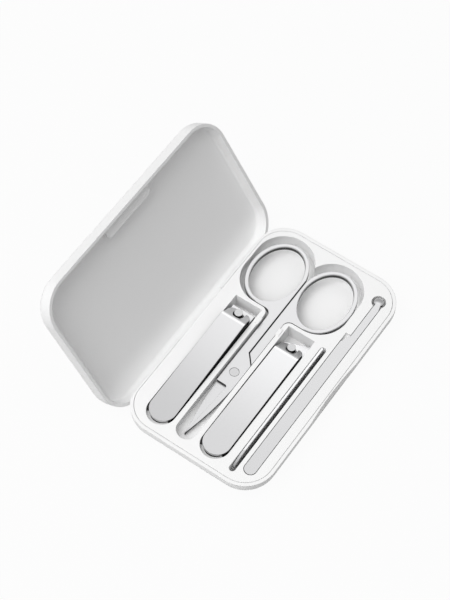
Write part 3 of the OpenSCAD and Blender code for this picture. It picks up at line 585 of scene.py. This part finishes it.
class MANICURE_OT_stage(Operator):
    """Build the floor, the studio light and the camera"""
    bl_idname = "manicure.stage"
    bl_label = "Floor, light and camera"

    def execute(self, context):
        look = context.scene.stage_look
        self.build_floor(look)
        self.build_world(context, look)
        # Both lamps stand on the hinge side, so that they reach the pockets' far walls and
        # hardly the lid's inside
        self.softbox(context, "High_softbox", HIGH_LAMP, look.high_lamp)
        self.softbox(context, "Low_softbox", LOW_LAMP, look.low_lamp)
        self.build_camera(context, look)
        context.scene.view_settings.view_transform = "Standard"
        return {"FINISHED"}

    def build_floor(self, look):
        bm = bmesh.new()
        bmesh.ops.create_grid(bm, x_segments=1, y_segments=1, size=FLOOR_HALF)
        material, tree, shader = new_material("Matt_white_table")
        shader.inputs["Base Color"].default_value = colour(look.backdrop)
        shader.inputs["Roughness"].default_value = 0.9
        shader.inputs["Specular IOR Level"].default_value = 0.1
        # The camera and the gloss of the tools see a nearly white table that keeps its shadow,
        # and the case gets only the light that a pale grey one would throw back
        ray = add_node(tree, "ShaderNodeLightPath")
        seen = joined(tree, "MAXIMUM", ray.outputs["Is Camera Ray"], ray.outputs["Is Glossy Ray"])
        part = add_node(tree, "ShaderNodeMath", {0: seen}, operation="MULTIPLY")
        part.inputs[1].default_value = FLOOR_WHITENESS
        white = add_node(tree, "ShaderNodeEmission", Strength=1.0)
        mixed = add_node(tree, "ShaderNodeMixShader", {"Fac": part.outputs[0]})
        tree.links.new(shader.outputs[0], mixed.inputs[1])
        tree.links.new(white.outputs[0], mixed.inputs[2])
        tree.links.new(mixed.outputs[0], tree.nodes["Material Output"].inputs["Surface"])
        floor = new_object("floor", bm, material)

    def build_world(self, context, look):
        """Light from straight above, and for steel a lower glow past the case's far end."""
        world = bpy.data.worlds.new("White_studio")
        context.scene.world = world
        world.use_nodes = True
        tree = world.node_tree
        background = tree.nodes["Background"]
        ray = add_node(tree, "ShaderNodeLightPath")
        lit = add_node(tree, "ShaderNodeMix",
                       {"Factor": ray.outputs["Is Glossy Ray"], "A": self.sky(tree, look.sky),
                        "B": self.glow(tree, look.gloss_side)})
        seen = add_node(tree, "ShaderNodeMix",
                        {"Factor": ray.outputs["Is Camera Ray"], "A": lit.outputs["Result"]})
        seen.inputs["B"].default_value = 1.0
        tree.links.new(seen.outputs["Result"], background.inputs["Strength"])
        background.inputs["Color"].default_value = (1, 1, 1, 1)

    def sky(self, tree, strength):
        """Strength of an overhead softbox that fades towards the walls."""
        above = add_node(tree, "ShaderNodeMath", {0: on_axis(tree, "Generated", "Z")},
                         operation="MAXIMUM")
        above.inputs[1].default_value = 0.0
        strong = add_node(tree, "ShaderNodeMath", {0: above.outputs[0]}, operation="MULTIPLY")
        strong.inputs[1].default_value = strength
        return strong.outputs[0]

    def glow(self, tree, strength):
        """Strength of a room that brightens towards one direction."""
        place = add_node(tree, "ShaderNodeTexCoord")
        dot = add_node(tree, "ShaderNodeVectorMath", {0: place.outputs["Generated"]},
                       operation="DOT_PRODUCT")
        dot.inputs[1].default_value = GLOW.normalized()
        return ramp(tree, dot.outputs["Value"], (GLOW_START, 1.0), (GLOW_LOW, strength), False)

    def softbox(self, context, name, toward, power):
        """A soft lamp at the lamps' distance, turned to the case."""
        lamp = bpy.data.lights.new(name, "AREA")
        lamp.shape = "RECTANGLE"
        lamp.size, lamp.size_y = LAMP_SIZE
        lamp.energy = power
        box = bpy.data.objects.new(name, lamp)
        box.location = toward.normalized() * LAMP_DISTANCE
        box.rotation_euler = (-box.location).to_track_quat("-Z", "Y").to_euler()
        box.visible_glossy = False
        context.scene.collection.objects.link(box)

    def build_camera(self, context, look):
        camera = bpy.data.objects.new("Camera", bpy.data.cameras.new("Camera"))
        context.scene.collection.objects.link(camera)
        level = math.cos(ELEVATION)
        away = Vector((level * math.sin(AZIMUTH), -level * math.cos(AZIMUTH), math.sin(ELEVATION)))
        camera.location = TARGET + away * look.view_distance
        turn = (-away).to_track_quat("-Z", "Y").to_matrix() @ Matrix.Rotation(ROLL, 3, "Z")
        camera.rotation_euler = turn.to_euler()
        camera.data.sensor_fit = "VERTICAL"
        camera.data.sensor_height = SENSOR_HEIGHT
        camera.data.lens = LENS
        camera.data.clip_start = 0.01
        context.scene.camera = camera


class MANICURE_PT_panel(Panel):
    """Buttons and settings for the manicure set case"""
    bl_label = "Manicure set case"
    bl_idname = "MANICURE_PT_panel"
    bl_space_type = "VIEW_3D"
    bl_region_type = "UI"
    bl_category = "Manicure set"

    def draw(self, context):
        layout = self.layout
        for operator in OPERATORS:
            layout.operator(operator.bl_idname)
        for group in (context.scene.case_finish, context.scene.tool_finish,
                      context.scene.stage_look):
            box = layout.box()
            for name in group.__annotations__:
                box.prop(group, name)


OPERATORS = (MANICURE_OT_case, MANICURE_OT_clippers, MANICURE_OT_scissors,
             MANICURE_OT_file_and_pick, MANICURE_OT_stage)
CLASSES = (CaseFinish, ToolFinish, StageLook, *OPERATORS, MANICURE_PT_panel)


def register():
    for item in CLASSES:
        bpy.utils.register_class(item)
    bpy.types.Scene.case_finish = PointerProperty(type=CaseFinish)
    bpy.types.Scene.tool_finish = PointerProperty(type=ToolFinish)
    bpy.types.Scene.stage_look = PointerProperty(type=StageLook)


def unregister():
    del bpy.types.Scene.stage_look
    del bpy.types.Scene.tool_finish
    del bpy.types.Scene.case_finish
    for item in reversed(CLASSES):
        bpy.utils.unregister_class(item)


def main():
    register()
    bpy.ops.manicure.case()
    bpy.ops.manicure.clippers()
    bpy.ops.manicure.scissors()
    bpy.ops.manicure.file_and_pick()
    bpy.ops.manicure.stage()


if __name__ == "__main__":
    main()
